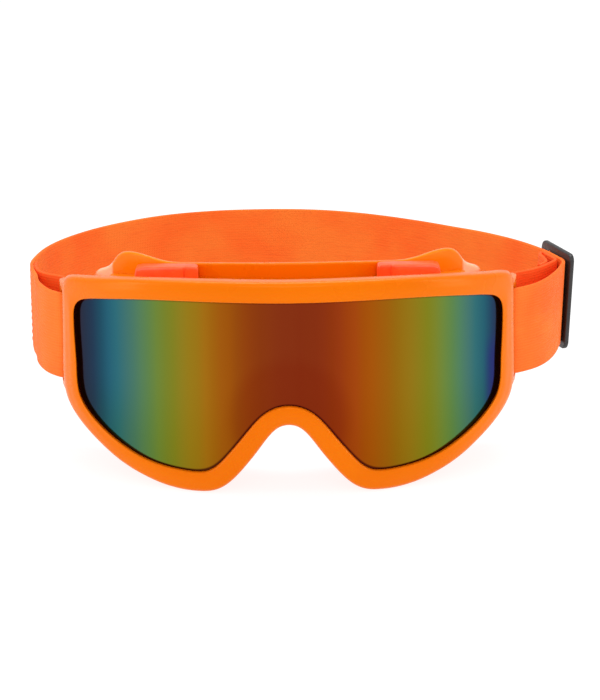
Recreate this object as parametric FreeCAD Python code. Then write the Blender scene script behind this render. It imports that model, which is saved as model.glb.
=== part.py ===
# Ski goggles: moulded frame with wrap-round cylindrical lens, face foam, top vent pads,
# elastic webbing strap threaded through two side ears, and a tri-glide slider.
# Millimetres. +Z up, the lens faces -Y, the strap loop runs back along +Y.
import FreeCAD, Part
import math, os
from FreeCAD import Vector

os.makedirs("parts", exist_ok=True)

# ---------------------------------------------------------------- dimensions
ORIGIN_X, ORIGIN_Y = -5.55, -101.0   # moves the base centre of the whole object to the origin

FRONT_R = 112.0          # bezel front cylinder, vertical axis
FRONT_CY = 112.0         # its axis; the front-most point is Y = 0
BEZEL_DEPTH = 7.0        # fore-aft depth of the bezel
SEAT_DEPTH = 10.0        # fore-aft depth of the lens seat behind it
LENS_R = 110.0           # lens outer surface
LENS_T = 1.6             # lens thickness
LENS_LAP = 1.8           # lens edge held inside the groove
GAP = 0.05               # assembly clearance
WALL_T = 2.2             # side wall of the frame
FACE_R = 100.0           # face flange cylinder, vertical axis
FACE_CY = 128.0
FLANGE_T = 2.4
FOAM_T = 11.5
PAD_T = 6.5              # vent pad, fore-aft

STRAP_W = 35.0           # webbing width
STRAP_T = 1.4            # webbing thickness
STRAP_Z0 = 34.0          # lower edge of the webbing
STRAP_ZC = STRAP_Z0 + STRAP_W / 2.0

EAR_Z0, EAR_Z1 = 30.6, 72.1      # side ear, full height
SLOT_Z0, SLOT_Z1 = 32.7, 70.3    # strap slots in the ear

ARC_X, ARC_Y, ARC_R = 0.0, 70.0, 115.4   # arc of the webbing the slider runs along
SL_PHI, SL_TILT = 19.9, 17.3             # slider position on that arc, and its heading
SL_R = 117.5
SL_LEN, SL_H, SL_T = 31.6, 40.0, 2.0     # slider length, height, thickness
SL_RAIL, SL_SLOT, SL_SLOT_H = 4.5, 8.0, 35.6
ROOF_Z, ROOF_Y, ROOF_SLOPE, ROOF_X = 77.4, 41.0, 0.28, 70.0   # sloping roof of the shroud's upper corners


# ---------------------------------------------------------------- outlines (front view, X >= 0 half, top centre to bottom centre)
RIM = [(0, 84.2), (15, 84.15), (30, 83.85), (45, 83.1), (60, 81.75), (72, 80.1), (80, 78.75),
       (84.4, 77.8), (86.9, 76.5), (88.3, 74.3), (88.75, 71), (88.85, 64), (89.0, 54), (89.25, 44),
       (89.2, 35.5), (87.6, 27.4), (82.9, 20.6), (77.9, 16.0), (73.0, 12.3), (68.1, 9.0), (63.3, 6.4),
       (58.4, 4.3), (53.6, 2.6), (48.9, 1.3), (44.2, 0.45), (39.5, 0.0), (34.8, 0.0), (30.1, 0.55),
       (25.4, 2.6), (20.8, 6.6), (16.1, 12.1), (11.4, 18.3), (7.2, 23.9), (3.7, 26.9), (0, 27.8)]
OPEN = [(0, 76.1), (20, 76.05), (40, 75.6), (60.5, 74.0), (72, 72.2), (78, 70.9), (81.6, 69.2),
        (83.5, 66.2), (84.0, 62), (83.8, 52.3), (83.4, 42.5), (83.1, 34.6), (81.8, 29.6), (78.4, 24.7),
        (72.7, 19.6), (65.4, 14.9), (56.8, 11.0), (49, 9.0), (41.5, 8.1), (36, 7.9), (31.6, 8.6),
        (28.0, 10.8), (24.4, 14.6), (19, 21.2), (14.2, 27.3), (10.6, 31.2), (5.6, 34.4), (0, 35.5)]
FLANGE = [(0, 85.3), (20, 85.0), (30, 84.5), (40, 83.75), (46.5, 83.5), (51.5, 84.1), (56.5, 85.0),
          (61, 85.3), (64.8, 84.5), (67.6, 82.1), (69.5, 79.2), (71.2, 77.4), (74.0, 75.8), (76.4, 74.0), (77.4, 72.0),
          (78.6, 69.8), (81.2, 66.8), (84.0, 62.6), (85.8, 56.5), (86.1, 49), (85.5, 40), (83, 29.5), (77, 20), (70, 13.0), (62, 7.6),
          (53, 3.6), (44, 1.0), (36, 0.2), (30, 1.4), (24.5, 5.6), (19, 12.4), (14, 19.7), (9, 26.5),
          (5, 29.8), (0, 31)]
FACE_OPEN = [(0, 72.2), (25, 72.0), (48, 70.9), (61, 68.9), (70.0, 65.0), (74.8, 59.3), (76.6, 50),
             (76, 38), (73, 29.5), (67, 22.5), (60, 17.5), (52, 14.3), (43, 12.6), (35.5, 12.8),
             (29, 15.6), (23.5, 21.2), (18.5, 28.4), (13, 35.4), (7, 39.8), (0, 41)]
FOAM_OUT = [(0, 82.2), (20, 82.0), (40, 81.2), (55, 79.8), (62.5, 77.4), (67.5, 73.9), (72.2, 70.6), (77.0, 67.2),
            (81.2, 62.8), (84.0, 56.8), (84.8, 49), (84.2, 40), (81.8, 30.4), (76, 21.2), (69.3, 14.4),
            (61.4, 9.0), (52.6, 5.0), (44, 2.4), (36.3, 1.6), (30.6, 2.8), (25.4, 6.8), (19.9, 13.4),
            (14.8, 20.8), (9.8, 27.6), (5.3, 31.3), (0, 32.6)]


def both(half):
    left = [(-x, z) for x, z in reversed(half) if abs(x) > 1e-9]
    return list(half) + left


def loop_curve(pts):
    c = Part.BSplineCurve()
    c.interpolate(Points=[Vector(x, 0, z) for x, z in pts], PeriodicFlag=True)
    return c


def offset_pts(pts, dist, n=420, step=2.4):
    # moves a closed outline along its outward normal and rounds the corners the move would make sharp;
    # dist is a number or a function of the normal's Z part
    c = loop_curve(pts)
    a, b = c.FirstParameter, c.LastParameter
    area = sum(pts[i][0] * pts[(i + 1) % len(pts)][1] - pts[(i + 1) % len(pts)][0] * pts[i][1] for i in range(len(pts)))
    s = 1.0 if area < 0 else -1.0
    base, moved = [], []
    for i in range(n):
        u = a + (b - a) * i / n
        p, t = c.value(u), c.tangent(u)[0]
        nx, nz = -t.z * s, t.x * s
        k = math.hypot(nx, nz)
        d = dist(nz / k) if callable(dist) else dist
        base.append((p.x, p.z))
        moved.append((p.x + nx / k * d, p.z + nz / k * d, abs(d)))
    kept = [(x, z) for x, z, d in moved
            if min((x - q[0]) ** 2 + (z - q[1]) ** 2 for q in base) > (0.985 * d - 0.02) ** 2]
    m = len(kept)
    run = [0.0]
    for i in range(m):
        p, q = kept[i], kept[(i + 1) % m]
        run.append(run[-1] + math.hypot(q[0] - p[0], q[1] - p[1]))
    k = int(round(run[-1] / step))
    even, j = [], 0
    for i in range(k):
        g = run[-1] * i / k
        while run[j + 1] < g:
            j += 1
        p, q = kept[j], kept[(j + 1) % m]
        w = (g - run[j]) / max(run[j + 1] - run[j], 1e-9)
        even.append((p[0] + (q[0] - p[0]) * w, p[1] + (q[1] - p[1]) * w))
    for _ in range(2):
        even = [((even[i - 1][0] + 2 * even[i][0] + even[(i + 1) % k][0]) / 4,
                 (even[i - 1][1] + 2 * even[i][1] + even[(i + 1) % k][1]) / 4) for i in range(k)]
    return even


def prism(pts, y0=-20.0, y1=120.0):
    w = Part.Wire([loop_curve(pts).toShape()])
    f = Part.Face(w)
    f.translate(Vector(0, y0, 0))
    return f.extrude(Vector(0, y1 - y0, 0))


def cyl(r, cy, z0=-20.0, z1=120.0):
    return Part.makeCylinder(r, z1 - z0, Vector(0, cy, z0), Vector(0, 0, 1))


def ring(r_out, r_in, cy, z0=-20.0, z1=120.0):
    # front half of a tube about a vertical axis
    s = cyl(r_out, cy, z0, z1).cut(cyl(r_in, cy, z0, z1))
    return s.common(Part.makeBox(400, cy + 20, z1 - z0, Vector(-200, -20, z0)))


def box(x0, x1, y0, y1, z0, z1):
    return Part.makeBox(x1 - x0, y1 - y0, z1 - z0, Vector(x0, y0, z0))


def plan(pts, z0, z1):
    w = Part.makePolygon([Vector(x, y, z0) for x, y in pts] + [Vector(pts[0][0], pts[0][1], z0)])
    return Part.Face(w).extrude(Vector(0, 0, z1 - z0))


def mirror(s):
    return s.mirror(Vector(0, 0, 0), Vector(1, 0, 0))


def one(s):
    s = s.removeSplitter()
    return s.Solids[0] if len(s.Solids) == 1 else s


def export(name, shape):
    s = shape.copy()
    s.translate(Vector(ORIGIN_X, ORIGIN_Y, 0))
    s.exportStep("parts/%s.step" % name)


# ---------------------------------------------------------------- frame
rim, opening = both(RIM), both(OPEN)
wall_out = offset_pts(rim, lambda nz: -3.1 - 1.9 * max(0.0, nz) ** 2)
wall_in = offset_pts(rim, lambda nz: -3.1 - WALL_T - 1.9 * max(0.0, nz) ** 2)

front = cyl(FRONT_R, FRONT_CY)
bezel = prism(rim).common(front).cut(cyl(FRONT_R, FRONT_CY + BEZEL_DEPTH))
seat = prism(wall_out).common(cyl(FRONT_R, FRONT_CY + 4.0)).cut(cyl(FRONT_R, FRONT_CY + SEAT_DEPTH))
body = bezel.fuse(seat)
# strap slots: the webbing leaves the ears just behind the bezel's side edge
for s in (1, -1):
    x0, x1 = sorted((s * 86.15, s * 100))
    body = body.cut(box(x0, x1, 48.3, 70, SLOT_Z0, SLOT_Z1))

def above_roof(side, x0, drop):
    # everything above the sloping roof of one upper corner
    z = lambda y: ROOF_Z - drop - ROOF_SLOPE * (y - ROOF_Y)
    w = Part.makePolygon([Vector(side * x0, -20, z(-20)), Vector(side * x0, 120, z(120)), Vector(side * x0, 120, 160),
                          Vector(side * x0, -20, 160), Vector(side * x0, -20, z(-20))])
    return Part.Face(w).extrude(Vector(side * 60, 0, 0))


shroud_out, shroud_in = prism(wall_out), prism(wall_in)
for s in (1, -1):
    shroud_out = shroud_out.cut(above_roof(s, ROOF_X, 0.0))
    shroud_in = shroud_in.cut(above_roof(s, ROOF_X - WALL_T, WALL_T))
wall = shroud_out.cut(shroud_in)
wall = wall.common(cyl(FRONT_R, FRONT_CY + 8.0)).common(box(-120, 120, -20, 100, -20, 120)).cut(cyl(FACE_R - 1.0, FACE_CY))
body = body.fuse(wall)
flange = prism(both(FLANGE)).common(ring(FACE_R, FACE_R - FLANGE_T, FACE_CY)).cut(prism(both(FACE_OPEN)))
body = body.fuse(flange)
body = body.cut(prism(opening, -20, 62).common(cyl(FRONT_R + 1, FRONT_CY)).cut(cyl(FRONT_R, FRONT_CY + SEAT_DEPTH + 0.5)))

# side ears: a slanted plate carried by two arms, with a slot in front of it and an open gap behind it
plate = plan([(88.0, 53.8), (90.2, 53.8), (91.0, 61.6), (88.85, 61.6)], EAR_Z0, EAR_Z1)
arm_plan = [(84.6, 46.2), (88.8, 46.2), (90.2, 53.8), (91.0, 61.6), (89.6, 63.6), (85.6, 63.6), (84.6, 62.6)]
ear = plate.fuse(plan(arm_plan, EAR_Z0, SLOT_Z0)).fuse(plan(arm_plan, SLOT_Z1, EAR_Z1))
body = body.fuse(ear).fuse(mirror(ear))

# lens groove
groove = prism(offset_pts(opening, LENS_LAP + GAP)).common(ring(LENS_R + GAP, LENS_R - LENS_T - GAP, FRONT_CY))
body = body.cut(groove)

# vents through the wall: two under the top pads, two pairs through the bottom
for s in (1, -1):
    x0, x1 = sorted((s * 39.0, s * 56.0))
    body = body.cut(ring(105.2, 101.8, FACE_CY).common(box(x0, x1, 0, 80, 74, 83)))
    for a, b in ((40.0, 50.0), (54.0, 64.0)):
        x0, x1 = sorted((s * a, s * b))
        body = body.cut(ring(110.5, 104.0, FACE_CY).common(box(x0, x1, 0, 80, -5, 18)))
frame = one(body)

# ---------------------------------------------------------------- lens
lens = one(prism(offset_pts(opening, LENS_LAP)).common(ring(LENS_R, LENS_R - LENS_T, FRONT_CY)))

# ---------------------------------------------------------------- face foam
foam = prism(both(FOAM_OUT)).cut(prism(offset_pts(both(FACE_OPEN), -0.6)))
foam_r = FACE_R - FLANGE_T - GAP
foam = one(foam.common(cyl(foam_r, FACE_CY)).cut(cyl(foam_r, FACE_CY + FOAM_T)).common(box(-120, 120, 0, 120, -20, 120)))

# ---------------------------------------------------------------- vent pads on the top wall, with a plug through the wall
pad_face = Part.Face(Part.makePolygon([Vector(x, 0, z) for x, z in
                     [(34.6, 70), (34.6, 83.1), (35.7, 84.2), (41, 83.8), (48, 83.05), (56.6, 81.9), (59.0, 80.9), (59.8, 79.4), (59.8, 70), (34.6, 70)]]))
pad = pad_face.extrude(Vector(0, 100, 0))
pad = pad.common(ring(FACE_R + PAD_T, FACE_R + GAP, FACE_CY)).cut(prism(offset_pts(wall_out, GAP)))
pad = pad.cut(ring(FACE_R + PAD_T + 1, FACE_R + PAD_T - 0.8, FACE_CY).common(box(30, 40.4, 0, 80, 60, 90)))
plug = ring(105.1, 101.9, FACE_CY).common(box(39.1, 55.9, 0, 80, 76.0, 82.0))
plug = plug.common(prism(offset_pts(wall_out, 1.0))).cut(prism(offset_pts(wall_in, -0.1)))
pad = one(pad.fuse(plug))
pad_left = mirror(pad)

# ---------------------------------------------------------------- foam strips inside the bottom vents
strip = prism(offset_pts(wall_in, -0.15)).cut(prism(offset_pts(wall_in, -2.3)))
strip = one(strip.common(ring(111.5, 102.5, FACE_CY)).common(box(37.0, 67.0, 0, 80, -5, 22)))
strip_left = mirror(strip)


# ---------------------------------------------------------------- webbing
def path_curve(pts):
    c = Part.BSplineCurve()
    c.interpolate([Vector(x, y, 0) for x, y in pts])
    return c


def webbing(pts, t=STRAP_T, z0=STRAP_Z0, w=STRAP_W, n=60):
    c = path_curve(pts)
    a, b = c.FirstParameter, c.LastParameter
    lf, rt = [], []
    for i in range(n + 1):
        u = a + (b - a) * i / n
        p, d = c.value(u), c.tangent(u)[0]
        k = math.hypot(d.x, d.y)
        nx, ny = -d.y / k, d.x / k
        lf.append(Vector(p.x + nx * t / 2, p.y + ny * t / 2, z0))
        rt.append(Vector(p.x - nx * t / 2, p.y - ny * t / 2, z0))
    e1, e2 = Part.BSplineCurve(), Part.BSplineCurve()
    e1.interpolate(lf)
    e2.interpolate(rt)
    w1 = Part.Wire([e1.toShape(), Part.makeLine(lf[-1], rt[-1]), e2.toShape(), Part.makeLine(rt[0], lf[0])])
    return Part.Face(w1).extrude(Vector(0, 0, w))


def arc_pt(phi, r=ARC_R):
    q = math.radians(phi)
    return (ARC_X + r * math.cos(q), ARC_Y + r * math.sin(q))


LEFT_LOOP = [(104.75, 96.5), (103.9, 91), (102.6, 85), (101.4, 76), (99.9, 69), (97.6, 62.3), (94.9, 56.8),
             (92.0, 53.0), (90.0, 51.2), (88.5, 50.9), (87.35, 52.2), (87.1, 54.5), (87.6, 62), (88.2, 70),
             (88.75, 74.2), (90.2, 77.4), (92.5, 79.8), (95.8, 82.2), (99.2, 85.4), (101.4, 89.2),
             (102.7, 93.5), (103.5, 99.0), (103.9, 104)]
BACK = ([(-104.85, 96.9), (-105.6, 104), (-104.9, 114), (-102.4, 128), (-98.6, 139.5), (-94.1, 149),
         (-89.2, 157.3), (-79.6, 170), (-70, 179.3), (-59.8, 187.2), (-49.5, 193), (-39, 197),
         (-28.5, 199.6), (-14, 201.1), (0, 201.0), (10, 199.8), (19.3, 197.4), (29.8, 193), (40.3, 186.8),
         (50.6, 179.2), (60.8, 170.4)]
        + [arc_pt(p) for p in (52, 47, 42, 37, 32, 27, 22, 17, 14)] + [(110.9, 90.4), (109.6, 84.6)])
RIGHT_LOOP = [(109.5, 84.2), (108, 78.9), (104.1, 68.3), (100.3, 61.3), (96, 56.0), (92.6, 53.0), (90.3, 51.3),
              (88.6, 50.9), (87.35, 52.2), (87.1, 54.5), (87.6, 62), (88.1, 69.5), (88.6, 73.9), (90.0, 77.0),
              (92.4, 79.0), (95.5, 81.2), (98.9, 84.3), (101.4, 87.1)]
RETURN_FOLD = [(102.0, 87.8), (103.9, 90.6), (105.7, 93.6), (108.0, 97.2), (109.2, 99.9), (108.8, 102.6), (107.8, 105.6),
               (106.9, 108.3), (105.9, 110.8)]
RETURN_TAIL = [(103.9, 112.7), (103.4, 110.6), (103.7, 107.6), (104.2, 104.2), (104.7, 100.8), (104.9, 97.8), (104.1, 94.7),
               (102.5, 91.6), (101.6, 90.2)]

strap_back = webbing(BACK, n=110)
strap_loop_left = webbing([(-x, y) for x, y in LEFT_LOOP], n=110)
strap_loop_right = webbing(RIGHT_LOOP, n=100)
fold = Part.makeCompound([webbing(RETURN_FOLD, n=30), webbing(RETURN_TAIL, n=30)])


def stitches(pts, s_from_start, side, rows, z_list, t=STRAP_T):
    # short thread bars lying on one face of the webbing
    c = path_curve(pts)
    a = c.FirstParameter
    out = []
    for s in rows:
        u = c.parameterAtDistance(s_from_start + s, a)
        p, d = c.value(u), c.tangent(u)[0]
        ang = math.degrees(math.atan2(d.y, d.x))
        for z in z_list:
            b = Part.makeBox(0.5, 0.35, 2.4, Vector(-0.25, side * (t / 2 + 0.04) - (0.35 if side < 0 else 0), z - 1.2))
            b.rotate(Vector(0, 0, 0), Vector(0, 0, 1), ang)
            b.translate(Vector(p.x, p.y, 0))
            out.append(b)
    return Part.makeCompound(out)


zs = [STRAP_Z0 + 2.3 + 3.8 * i for i in range(9)]
thread_left = stitches([(-x, y) for x, y in LEFT_LOOP], 1.6, -1, [0.0, 6.0], zs)
thread_right = stitches(RETURN_TAIL, path_curve(RETURN_TAIL).length() - 7.2, -1, [0.0, 5.0], zs)

# ---------------------------------------------------------------- slider (tri-glide) and the webbing over its centre bar
half = SL_LEN / 2.0
zc = STRAP_ZC
plate0 = Part.makeBox(SL_T, SL_LEN, SL_H, Vector(-SL_T / 2, -half, zc - SL_H / 2))
plate0 = plate0.makeFillet(3.2, [e for e in plate0.Edges if abs(e.Vertexes[0].Point.x - e.Vertexes[1].Point.x) > 1])
for s0 in (-half + SL_RAIL, half - SL_RAIL - SL_SLOT):
    cutb = Part.makeBox(SL_T + 2, SL_SLOT, SL_SLOT_H, Vector(-SL_T / 2 - 1, s0, zc - SL_SLOT_H / 2))
    cutb = cutb.makeFillet(1.2, [e for e in cutb.Edges if abs(e.Vertexes[0].Point.x - e.Vertexes[1].Point.x) > 1])
    plate0 = plate0.cut(cutb)
bar = half - SL_RAIL - SL_SLOT
wrap = Part.makeBox(SL_T / 2 + 2.5, 2 * bar + 2.8, STRAP_W, Vector(-SL_T / 2, -bar - 1.4, STRAP_Z0))
wrap = wrap.makeFillet(1.2, [e for e in wrap.Edges if e.Vertexes[0].Point.x > 2 and e.Vertexes[1].Point.x > 2
                            and abs(e.Vertexes[0].Point.z - e.Vertexes[1].Point.z) > 1])
wrap = wrap.cut(Part.makeBox(SL_T / 2 + 1.15 + 0.05, 2 * bar + 0.1, STRAP_W + 2, Vector(-1.15, -bar - 0.05, STRAP_Z0 - 1)))


def place(s):
    s = s.copy()
    s.rotate(Vector(0, 0, 0), Vector(0, 0, 1), SL_TILT)
    x, y = arc_pt(SL_PHI, SL_R)
    s.translate(Vector(x, y, 0))
    return s


slider = place(one(plate0))
bar_wrap = place(one(wrap))

# ---------------------------------------------------------------- export
NODES = {
    "frame": frame,
    "lens": lens,
    "face_foam": foam,
    "top_vent_pad_left": pad_left,
    "top_vent_pad_right": pad,
    "bottom_vent_foam_left": strip_left,
    "bottom_vent_foam_right": strip,
    "strap_back": strap_back,
    "strap_loop_left": strap_loop_left,
    "strap_loop_right": strap_loop_right,
    "strap_end_fold": fold,
    "strap_bar_wrap": bar_wrap,
    "strap_stitching_left": thread_left,
    "strap_stitching_right": thread_right,
    "slider": slider,
}
for name, shape in NODES.items():
    export(name, shape)
    bb = shape.BoundBox
    print(name, "solids", len(shape.Solids), "valid", shape.isValid(), "vol", round(shape.Volume, 1),
          "x", round(bb.XMin, 1), round(bb.XMax, 1), "y", round(bb.YMin, 1), round(bb.YMax, 1), "z", round(bb.ZMin, 1), round(bb.ZMax, 1))
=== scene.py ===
import bpy, bmesh, math
import numpy as np
from mathutils import Vector, Matrix
from mathutils.geometry import delaunay_2d_cdt


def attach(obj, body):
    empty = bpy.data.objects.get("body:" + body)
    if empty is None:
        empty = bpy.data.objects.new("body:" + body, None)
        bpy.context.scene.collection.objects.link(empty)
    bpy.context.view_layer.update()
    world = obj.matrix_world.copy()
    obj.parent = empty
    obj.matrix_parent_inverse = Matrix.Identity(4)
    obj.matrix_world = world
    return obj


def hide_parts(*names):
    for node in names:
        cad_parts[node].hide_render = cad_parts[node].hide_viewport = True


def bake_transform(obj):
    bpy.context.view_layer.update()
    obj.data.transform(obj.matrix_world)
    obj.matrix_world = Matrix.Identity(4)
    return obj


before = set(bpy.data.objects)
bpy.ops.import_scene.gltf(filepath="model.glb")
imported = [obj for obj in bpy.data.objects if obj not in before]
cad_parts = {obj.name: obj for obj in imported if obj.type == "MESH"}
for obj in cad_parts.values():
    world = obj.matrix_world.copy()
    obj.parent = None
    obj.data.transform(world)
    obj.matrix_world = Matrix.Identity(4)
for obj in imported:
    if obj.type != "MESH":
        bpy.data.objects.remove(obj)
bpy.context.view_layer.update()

SC = bpy.context.scene
SC.view_settings.view_transform = "Standard"
SC.view_settings.look = "None"

# The model is laid out in millimetres from the bezel's front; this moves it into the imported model's frame.
OX, OY = -5.55, -101.0


def W(p):
    p = np.asarray(p, float).reshape(-1, 3)
    return (p + np.array([OX, OY, 0.0])) / 1000.0


# ---------------------------------------------------------------- camera
F_PX, ELEV, ROLL = 3000.0, math.radians(15.0), math.radians(0.6)
DIST = F_PX / 2.59
TARGET = np.array([0.0, 5.0, 0.0])
AIM = np.array([289.8, 492.0]) - np.array([300.0, 350.0])
back = np.array([0.0, -math.cos(ELEV), math.sin(ELEV)])
right = np.array([1.0, 0.0, 0.0])
up = np.cross(right, -back)
cr, sr = math.cos(ROLL), math.sin(ROLL)
ax, ay = AIM[0], -AIM[1]
off = np.array([ax * cr + ay * sr, -ax * sr + ay * cr]) * DIST / F_PX
cam_pos = TARGET + back * DIST - right * off[0] - up * off[1]
cx, cy = right * cr - up * sr, right * sr + up * cr
cam_data = bpy.data.cameras.new("camera")
cam_data.lens = F_PX * 36.0 / 700.0
cam_data.sensor_width = 36.0
cam_data.sensor_fit = "AUTO"
cam_data.clip_start, cam_data.clip_end = 0.05, 50.0
cam = bpy.data.objects.new("camera", cam_data)
SC.collection.objects.link(cam)
m = Matrix.Identity(4)
for i, v in enumerate((cx, cy, back)):
    for j in range(3):
        m[j][i] = float(v[j])
pos = W(cam_pos)[0]
for j in range(3):
    m[j][3] = float(pos[j])
cam.matrix_world = m
SC.camera = cam

# ---------------------------------------------------------------- outlines (front view, half, top centre to bottom centre)
RIM = [(0, 84.2), (15, 84.15), (30, 83.85), (45, 83.1), (60, 81.75), (72, 80.1), (80, 78.75),
       (84.4, 77.8), (86.9, 76.5), (88.3, 74.3), (88.75, 71), (88.85, 64), (89.0, 54), (89.25, 44),
       (89.2, 35.5), (87.6, 27.4), (82.9, 20.6), (77.9, 16.0), (73.0, 12.3), (68.1, 9.0), (63.3, 6.4),
       (58.4, 4.3), (53.6, 2.6), (48.9, 1.3), (44.2, 0.45), (39.5, 0.0), (34.8, 0.0), (30.1, 0.55),
       (25.4, 2.6), (20.8, 6.6), (16.1, 12.1), (11.4, 18.3), (7.2, 23.9), (3.7, 26.9), (0, 27.8)]
OPEN = [(0, 76.1), (20, 76.05), (40, 75.6), (60.5, 74.0), (72, 72.2), (78, 70.9), (81.6, 69.2),
        (83.5, 66.2), (84.0, 62), (83.8, 52.3), (83.4, 42.5), (83.1, 34.6), (81.8, 29.6), (78.4, 24.7),
        (72.7, 19.6), (65.4, 14.9), (56.8, 11.0), (49, 9.0), (41.5, 8.1), (36, 7.9), (31.6, 8.6),
        (28.0, 10.8), (24.4, 14.6), (19, 21.2), (14.2, 27.3), (10.6, 31.2), (5.6, 34.4), (0, 35.5)]
FLANGE = [(0, 85.3), (20, 85.0), (30, 84.5), (40, 83.75), (46.5, 83.5), (51.5, 84.1), (56.5, 85.0),
          (61, 85.3), (64.8, 84.5), (67.6, 82.1), (69.5, 79.2), (71.2, 77.4), (74.0, 75.8), (76.4, 74.0), (77.4, 72.0),
          (78.6, 69.8), (81.2, 66.8), (84.0, 62.6), (85.8, 56.5), (86.1, 49), (85.5, 40), (83, 29.5), (77, 20), (70, 13.0), (62, 7.6),
          (53, 3.6), (44, 1.0), (36, 0.2), (30, 1.4), (24.5, 5.6), (19, 12.4), (14, 19.7), (9, 26.5),
          (5, 29.8), (0, 31)]
FACE_OPEN = [(0, 72.2), (25, 72.0), (48, 70.9), (61, 68.9), (70.0, 65.0), (74.8, 59.3), (76.6, 50),
             (76, 38), (73, 29.5), (67, 22.5), (60, 17.5), (52, 14.3), (43, 12.6), (35.5, 12.8),
             (29, 15.6), (23.5, 21.2), (18.5, 28.4), (13, 35.4), (7, 39.8), (0, 41)]
FOAM_OUT = [(0, 82.2), (20, 82.0), (40, 81.2), (55, 79.8), (62.5, 77.4), (67.5, 73.9), (72.2, 70.6), (77.0, 67.2),
            (81.2, 62.8), (84.0, 56.8), (84.8, 49), (84.2, 40), (81.8, 30.4), (76, 21.2), (69.3, 14.4),
            (61.4, 9.0), (52.6, 5.0), (44, 2.4), (36.3, 1.6), (30.6, 2.8), (25.4, 6.8), (19.9, 13.4),
            (14.8, 20.8), (9.8, 27.6), (5.3, 31.3), (0, 32.6)]
FRONT_R, FRONT_CY, LENS_R, LENS_T = 112.0, 112.0, 110.0, 1.6
FACE_R, FACE_CY, FLANGE_T, FOAM_T, PAD_T = 100.0, 128.0, 2.4, 11.5, 6.5
STRAP_T, Z0, Z1 = 1.4, 34.0, 69.0
ZC = (Z0 + Z1) / 2


def cyl_y(x, r, c):
    return c - np.sqrt(np.maximum(r * r - np.asarray(x, float) ** 2, 1e-6))


def both(half):
    return [(float(a), float(b)) for a, b in half] + [(-float(x), float(z)) for x, z in reversed(half) if abs(x) > 1e-9]


# ---------------------------------------------------------------- splines
def cubic(pts, closed):
    """Chord-length cubic spline through pts; returns f(u) for u in [0, 1] and the knots."""
    P = np.asarray(pts, float)
    n = len(P)
    Q = np.vstack([P, P[:1]]) if closed else P
    h = np.linalg.norm(np.diff(Q, axis=0), axis=1)
    t = np.concatenate([[0], np.cumsum(h)])
    m = len(Q) - 1
    if closed:
        A = np.zeros((n, n)); B = np.zeros((n, P.shape[1]))
        for i in range(n):
            h0, h1 = h[i - 1], h[i]
            A[i, i - 1] += h0; A[i, i] += 2 * (h0 + h1); A[i, (i + 1) % n] += h1
            B[i] = 6 * ((Q[i + 1] - Q[i]) / h1 - (Q[i] - P[i - 1]) / h0)
        M2 = np.linalg.solve(A, B); M2 = np.vstack([M2, M2[:1]])
    else:
        A = np.zeros((n, n)); B = np.zeros((n, P.shape[1]))
        A[0, 0] = A[-1, -1] = 1
        for i in range(1, n - 1):
            A[i, i - 1], A[i, i], A[i, i + 1] = h[i - 1], 2 * (h[i - 1] + h[i]), h[i]
            B[i] = 6 * ((Q[i + 1] - Q[i]) / h[i] - (Q[i] - Q[i - 1]) / h[i - 1])
        M2 = np.linalg.solve(A, B)

    def f(u):
        u = np.asarray(u, float)
        s = (u % 1.0 if closed else np.clip(u, 0, 1)) * t[-1]
        k = np.clip(np.searchsorted(t, s, side="right") - 1, 0, m - 1)
        hk = h[k][:, None]
        a, b = (t[k + 1] - s)[:, None], (s - t[k])[:, None]
        return (M2[k] * a ** 3 + M2[k + 1] * b ** 3) / (6 * hk) + (Q[k] / hk - M2[k] * hk / 6) * a + (Q[k + 1] / hk - M2[k + 1] * hk / 6) * b
    return f, t / t[-1]


def even(f, n, closed, dense=6000):
    """n points evenly spaced along f, with their parameters."""
    u = np.linspace(0, 1, dense + 1)
    P = f(u[:-1] if closed else u)
    if closed:
        P = np.vstack([P, P[:1]])
    run = np.concatenate([[0], np.cumsum(np.linalg.norm(np.diff(P, axis=0), axis=1))])
    g = np.linspace(0, run[-1], n + (1 if closed else 0))
    g = g[:-1] if closed else g
    uu = np.interp(g, run, u)
    return f(uu), uu, run[-1]


def loop(half, n=600):
    f, _ = cubic(both(half), True)
    return even(f, n, True)[0]


def normals2(P, closed=True):
    if closed:
        T = np.roll(P, -1, axis=0) - np.roll(P, 1, axis=0)
    else:
        T = np.gradient(P, axis=0)
    T /= np.linalg.norm(T, axis=1)[:, None]
    return np.stack([-T[:, 1], T[:, 0]], axis=1)


def outward(P):
    N = normals2(P)
    area = np.sum(P[:, 0] * np.roll(P[:, 1], -1) - np.roll(P[:, 0], -1) * P[:, 1])
    return N if area < 0 else -N


def offset_loop(P, dist, step=2.4, rounds=2, n=None):
    """Closed outline moved along its outward normal, with folded-over points dropped and corners eased."""
    N = outward(P)
    d = dist(N[:, 1]) if callable(dist) else np.full(len(P), float(dist))
    Q = P + N * d[:, None]
    D = np.sqrt(((Q[:, None, :] - P[None, ::2, :]) ** 2).sum(-1)).min(1)
    Q = Q[D > 0.985 * np.abs(d) - 0.02]
    C = np.vstack([Q, Q[:1]])
    run = np.concatenate([[0], np.cumsum(np.linalg.norm(np.diff(C, axis=0), axis=1))])
    k = int(round(run[-1] / step))
    g = np.linspace(0, run[-1], k + 1)[:-1]
    E = np.stack([np.interp(g, run, C[:, i]) for i in (0, 1)], axis=1)
    for _ in range(rounds):
        E = (np.roll(E, 1, axis=0) + 2 * E + np.roll(E, -1, axis=0)) / 4
    f, _ = cubic(E, True)
    return even(f, n or len(P), True)[0]


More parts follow.
